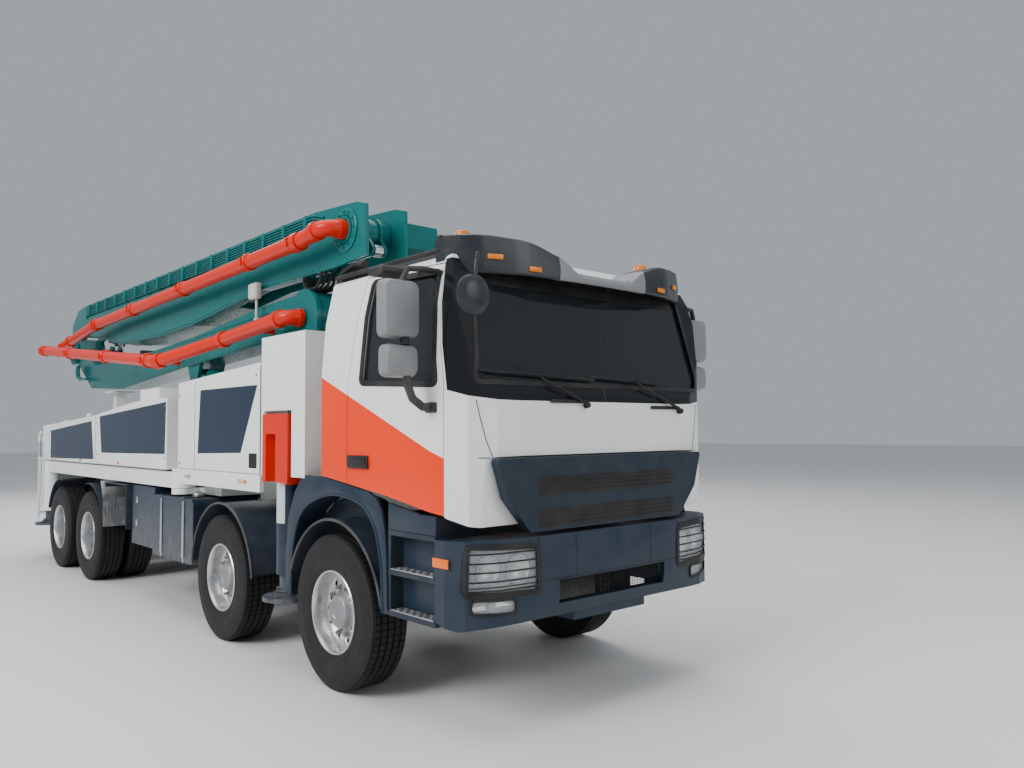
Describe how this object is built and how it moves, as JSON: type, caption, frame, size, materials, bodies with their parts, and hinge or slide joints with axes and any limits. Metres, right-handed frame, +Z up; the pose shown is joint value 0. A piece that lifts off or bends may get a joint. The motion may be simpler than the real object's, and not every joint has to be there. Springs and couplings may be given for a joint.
{
  "type": "concrete pump truck",
  "caption": "Cab-over truck with a folding boom that lies in side-by-side lanes over a deck, with delivery pipes, stands at the corners and a pump hopper at the back.",
  "frame": {"origin": "on the ground at the middle of the vehicle's box, its lowest face at z = 0", "axes": "+X along the truck towards its front, +Y to the truck's left, +Z up"},
  "size_m": [11.43, 3.18, 3.87],
  "materials": {
    "frame_paint": "satin dark blue paint",
    "axle_black": "satin black paint",
    "engine_iron": "painted cast iron",
    "step_plastic": "grained dark plastic",
    "bumper_blue": "satin dark blue plastic",
    "grille_blue": "satin dark blue plastic",
    "lamp_clear": "clear lamp cover",
    "cab_white": "gloss white paint",
    "door_paint": "gloss white paint with an orange band",
    "window_glass": "tinted glass",
    "cab_trim": "grained grey trim",
    "visor_paint": "smoked plastic",
    "mirror_black": "grained black plastic",
    "tyre_rubber": "black tyre on a silver steel rim",
    "frame_white": "gloss white paint",
    "deck_white": "gloss white paint with dark blue panels",
    "jack_steel": "dark blue paint on steel",
    "grate_black": "satin black paint",
    "worn_steel": "worn steel",
    "boom_teal": "gloss teal paint",
    "pipe_orange": "gloss orange-red paint",
    "rod_chrome": "polished chrome"
  },
  "bodies": {
    "chassis": {"chassis_frame": "frame_paint", "axles": "axle_black", "powertrain": "engine_iron", "side_tanks": "frame_paint", "arches": "step_plastic", "bumper": "bumper_blue", "lamps": "lamp_clear", "grille": "grille_blue", "cab_shell": "cab_white", "cab_glass": "window_glass", "cab_interior": "cab_trim", "roof_visor": "visor_paint", "pump_frame": "frame_white", "deck_panels": "deck_white", "hopper": "frame_paint", "turret": "boom_teal"},
    "door_right": {"door_right": "door_paint", "door_glass_right": "window_glass", "mirror_right": "mirror_black"},
    "door_left": {"door_left": "door_paint", "door_glass_left": "window_glass", "mirror_left": "mirror_black"},
    "steering_1r": {"knuckle_1r": "axle_black"},
    "steering_1l": {"knuckle_1l": "axle_black"},
    "steering_2r": {"knuckle_2r": "axle_black"},
    "steering_2l": {"knuckle_2l": "axle_black"},
    "wheel_1r": {"wheel_1r": "tyre_rubber"},
    "wheel_1l": {"wheel_1l": "tyre_rubber"},
    "wheel_2r": {"wheel_2r": "tyre_rubber"},
    "wheel_2l": {"wheel_2l": "tyre_rubber"},
    "wheel_3r": {"wheel_3r": "tyre_rubber"},
    "wheel_3l": {"wheel_3l": "tyre_rubber"},
    "wheel_4r": {"wheel_4r": "tyre_rubber"},
    "wheel_4l": {"wheel_4l": "tyre_rubber"},
    "front_leg_right": {"front_leg_right": "frame_paint"},
    "front_jack_right": {"front_jack_right": "jack_steel"},
    "front_leg_left": {"front_leg_left": "frame_paint"},
    "front_jack_left": {"front_jack_left": "jack_steel"},
    "rear_leg_right": {"rear_leg_right": "frame_white"},
    "rear_jack_right": {"rear_jack_right": "jack_steel"},
    "rear_leg_left": {"rear_leg_left": "frame_white"},
    "rear_jack_left": {"rear_jack_left": "jack_steel"},
    "hopper_grate": {"hopper_grate": "grate_black"},
    "agitator": {"agitator": "worn_steel"},
    "arm_1": {"arm_1": "boom_teal", "pipe_1": "pipe_orange"},
    "arm_2": {"arm_2": "boom_teal", "pipe_2": "pipe_orange"},
    "arm_3": {"arm_3": "boom_teal", "pipe_3": "pipe_orange"},
    "arm_4": {"arm_4": "boom_teal", "pipe_4": "pipe_orange"},
    "arm_5": {"arm_5": "boom_teal", "pipe_5": "pipe_orange"},
    "lift_barrel": {"lift_barrel": "boom_teal"},
    "lift_rod": {"lift_rod": "rod_chrome"},
    "rod_2": {"rod_2": "rod_chrome"},
    "rod_3": {"rod_3": "rod_chrome"},
    "rod_4": {"rod_4": "rod_chrome"},
    "rod_5": {"rod_5": "rod_chrome"}
  },
  "joints": [
    {"name": "steer_1r", "type": "hinge", "parent": "chassis", "child": "steering_1r", "pos_m": [4.075, -0.96, 0.542], "axis": [0, 0, 1], "range_deg": [-38, 38]},
    {"name": "steer_1l", "type": "hinge", "parent": "chassis", "child": "steering_1l", "pos_m": [4.075, 0.96, 0.542], "axis": [0, 0, 1], "range_deg": [-38, 38]},
    {"name": "steer_2r", "type": "hinge", "parent": "chassis", "child": "steering_2r", "pos_m": [2.125, -0.96, 0.542], "axis": [0, 0, 1], "range_deg": [-26.98, 26.98]},
    {"name": "steer_2l", "type": "hinge", "parent": "chassis", "child": "steering_2l", "pos_m": [2.125, 0.96, 0.542], "axis": [0, 0, 1], "range_deg": [-26.98, 26.98]},
    {"name": "spin_1r", "type": "hinge", "parent": "steering_1r", "child": "wheel_1r", "pos_m": [4.075, -1.0915, 0.542], "axis": [0, 1, 0], "continuous": true},
    {"name": "spin_1l", "type": "hinge", "parent": "steering_1l", "child": "wheel_1l", "pos_m": [4.075, 1.0915, 0.542], "axis": [0, 1, 0], "continuous": true},
    {"name": "spin_2r", "type": "hinge", "parent": "steering_2r", "child": "wheel_2r", "pos_m": [2.125, -1.0915, 0.542], "axis": [0, 1, 0], "continuous": true},
    {"name": "spin_2l", "type": "hinge", "parent": "steering_2l", "child": "wheel_2l", "pos_m": [2.125, 1.0915, 0.542], "axis": [0, 1, 0], "continuous": true},
    {"name": "spin_3r", "type": "hinge", "parent": "chassis", "child": "wheel_3r", "pos_m": [-1.975, -1.0915, 0.542], "axis": [0, 1, 0], "continuous": true},
    {"name": "spin_3l", "type": "hinge", "parent": "chassis", "child": "wheel_3l", "pos_m": [-1.975, 1.0915, 0.542], "axis": [0, 1, 0], "continuous": true},
    {"name": "spin_4r", "type": "hinge", "parent": "chassis", "child": "wheel_4r", "pos_m": [-3.325, -1.0915, 0.542], "axis": [0, 1, 0], "continuous": true},
    {"name": "spin_4l", "type": "hinge", "parent": "chassis", "child": "wheel_4l", "pos_m": [-3.325, 1.0915, 0.542], "axis": [0, 1, 0], "continuous": true},
    {"name": "door_right_hinge", "type": "hinge", "parent": "chassis", "child": "door_right", "pos_m": [5.38, -1.25, 1.7], "axis": [0, 0, 1], "range_deg": [0, 75]},
    {"name": "door_left_hinge", "type": "hinge", "parent": "chassis", "child": "door_left", "pos_m": [5.38, 1.25, 1.7], "axis": [0, 0, -1], "range_deg": [0, 75]},
    {"name": "front_leg_right_out", "type": "slide", "parent": "chassis", "child": "front_leg_right", "axis": [0, -1, 0], "range_m": [0, 1.5]},
    {"name": "front_jack_right_down", "type": "slide", "parent": "front_leg_right", "child": "front_jack_right", "axis": [0, 0, -1], "range_m": [0, 0.55]},
    {"name": "rear_leg_right_swing", "type": "hinge", "parent": "chassis", "child": "rear_leg_right", "pos_m": [0.845, -1.09, 1.342], "axis": [0, 0, 1], "range_deg": [0, 80]},
    {"name": "rear_jack_right_down", "type": "slide", "parent": "rear_leg_right", "child": "rear_jack_right", "axis": [0, 0, -1], "range_m": [0, 0.55]},
    {"name": "front_leg_left_out", "type": "slide", "parent": "chassis", "child": "front_leg_left", "axis": [0, 1, 0], "range_m": [0, 1.5]},
    {"name": "front_jack_left_down", "type": "slide", "parent": "front_leg_left", "child": "front_jack_left", "axis": [0, 0, -1], "range_m": [0, 0.55]},
    {"name": "rear_leg_left_swing", "type": "hinge", "parent": "chassis", "child": "rear_leg_left", "pos_m": [0.845, 1.09, 1.342], "axis": [0, 0, -1], "range_deg": [0, 80]},
    {"name": "rear_jack_left_down", "type": "slide", "parent": "rear_leg_left", "child": "rear_jack_left", "axis": [0, 0, -1], "range_m": [0, 0.55]},
    {"name": "grate_hinge", "type": "hinge", "parent": "chassis", "child": "hopper_grate", "pos_m": [-4.565, 0, 1.467], "axis": [0, 1, 0], "range_deg": [0, 90]},
    {"name": "agitator_spin", "type": "hinge", "parent": "chassis", "child": "agitator", "pos_m": [-5.105, 0, 0.96], "axis": [0, 1, 0], "continuous": true},
    {"name": "arm_1_lift", "type": "hinge", "parent": "chassis", "child": "arm_1", "pos_m": [2.475, -0.41, 2.85], "axis": [0, 1, 0], "range_deg": [0, 89]},
    {"name": "arm_2_fold", "type": "hinge", "parent": "arm_1", "child": "arm_2", "pos_m": [-5.275, -0.41, 3.12], "axis": [0, -1, 0], "range_deg": [0, 180]},
    {"name": "arm_3_fold", "type": "hinge", "parent": "arm_2", "child": "arm_3", "pos_m": [3.205, -0.41, 3.53], "axis": [0, 1, 0], "range_deg": [0, 180]},
    {"name": "arm_4_fold", "type": "hinge", "parent": "arm_3", "child": "arm_4", "pos_m": [-5.025, 0.05, 3.47], "axis": [0, -1, 0], "range_deg": [0, 235]},
    {"name": "arm_5_fold", "type": "hinge", "parent": "arm_4", "child": "arm_5", "pos_m": [3.075, 0.46, 3.47], "axis": [0, 1, 0], "range_deg": [0, 180]},
    {"name": "lift_barrel_swing", "type": "hinge", "parent": "chassis", "child": "lift_barrel", "pos_m": [1.725, -0.41, 2.15], "axis": [0, 1, 0], "range_deg": [0, 86.28]},
    {"name": "lift_rod_out", "type": "slide", "parent": "lift_barrel", "child": "lift_rod", "axis": [-0.9873, 0, 0.1589], "range_m": [0, 1.43249]},
    {"name": "rod_2_in", "type": "slide", "parent": "arm_1", "child": "rod_2", "axis": [1, 0, 0], "range_m": [0, 0.2986]},
    {"name": "rod_3_in", "type": "slide", "parent": "arm_2", "child": "rod_3", "axis": [-1, 0, 0], "range_m": [0, 0.2986]},
    {"name": "rod_4_in", "type": "slide", "parent": "arm_3", "child": "rod_4", "axis": [1, 0, 0], "range_m": [0, 0.2986]},
    {"name": "rod_5_in", "type": "slide", "parent": "arm_4", "child": "rod_5", "axis": [-1, 0, 0], "range_m": [0, 0.2986]}
  ],
  "couplings": [
    {"joint": "steer_1l", "follows": "steer_1r", "ratio": 1},
    {"joint": "steer_2r", "follows": "steer_1r", "ratio": 0.71},
    {"joint": "steer_2l", "follows": "steer_1r", "ratio": 0.71},
    {"joint": "lift_barrel_swing", "follows": "arm_1_lift", "ratio": 0.96934},
    {"joint": "lift_rod_out", "follows": "arm_1_lift", "m_per_rad": 0.92213},
    {"joint": "rod_2_in", "follows": "arm_2_fold", "m_per_rad": 0.095014},
    {"joint": "rod_3_in", "follows": "arm_3_fold", "m_per_rad": 0.095014},
    {"joint": "rod_4_in", "follows": "arm_4_fold", "m_per_rad": 0.072777},
    {"joint": "rod_5_in", "follows": "arm_5_fold", "m_per_rad": 0.095014}
  ]
}
